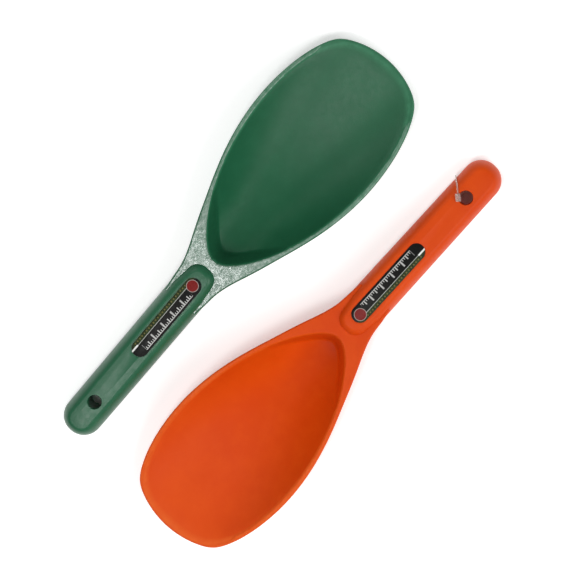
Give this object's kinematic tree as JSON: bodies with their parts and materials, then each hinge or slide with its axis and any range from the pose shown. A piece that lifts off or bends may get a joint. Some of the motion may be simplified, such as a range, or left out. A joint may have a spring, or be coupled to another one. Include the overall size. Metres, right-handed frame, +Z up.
{
  "type": "hand scoop pair",
  "caption": "Two moulded plastic hand scoops lying head to tail, each with a deep rounded bowl, flat web, hollow-backed handle, hang hole and printed label",
  "frame": {"origin": "centre of the pair's footprint, on the surface both scoops lie on", "axes": "X along the scoops, the green bowl toward +X and the orange bowl toward -X; Y across the pair, green at +Y; Z up"},
  "size_m": [0.2967, 0.1694, 0.028],
  "materials": {
    "green_plastic": "satin injection-moulded plastic, lightly grained on the flat web",
    "orange_plastic": "satin injection-moulded plastic",
    "label_print": null,
    "clear_filament": "clear nylon filament",
    "clear_lock": "clear moulded lock"
  },
  "bodies": {
    "green": {"green_scoop": "green_plastic", "green_label": "label_print"},
    "orange": {"orange_scoop": "orange_plastic", "orange_label": "label_print", "tag_loop": "clear_filament", "tag_lock": "clear_lock"}
  },
  "joints": [
    {"name": "orange_lift", "type": "slide", "parent": "green", "child": "orange", "axis": [0, 0, 1], "range_m": [0, 0.08]}
  ]
}
